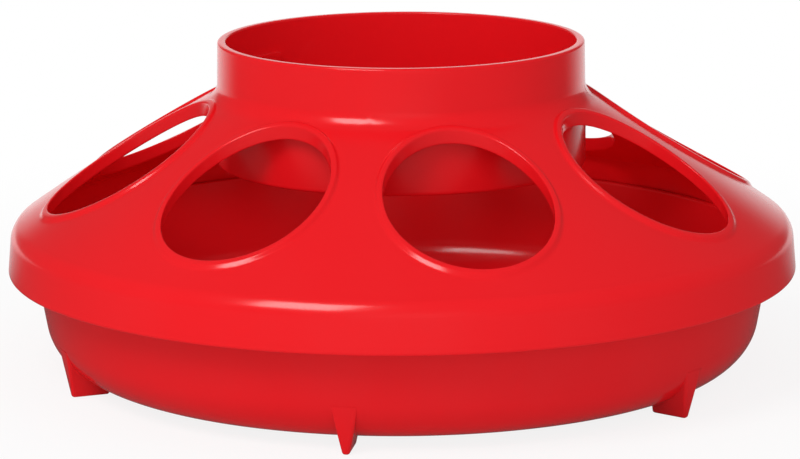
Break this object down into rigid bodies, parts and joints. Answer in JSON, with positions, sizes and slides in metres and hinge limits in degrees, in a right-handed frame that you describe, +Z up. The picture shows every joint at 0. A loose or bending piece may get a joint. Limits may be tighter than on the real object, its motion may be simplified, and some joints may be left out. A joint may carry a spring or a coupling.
{
  "type": "screw-on chick feeder base",
  "caption": "Round feeder base for chicks: a domed cover with feed holes and a screw collar for a jar, snapped over a shallow feed pan on small feet.",
  "frame": {"origin": "centre of the base, on the surface that the feet stand on", "axes": "+Z up along the axis of the collar and the pan"},
  "size_m": [0.164, 0.164, 0.0694],
  "materials": {
    "red_plastic": "glossy moulded red, smooth",
    "red_plastic_pan": "glossy moulded red, smooth"
  },
  "bodies": {
    "root": {"cover": "red_plastic", "pan": "red_plastic_pan"}
  },
  "joints": []
}
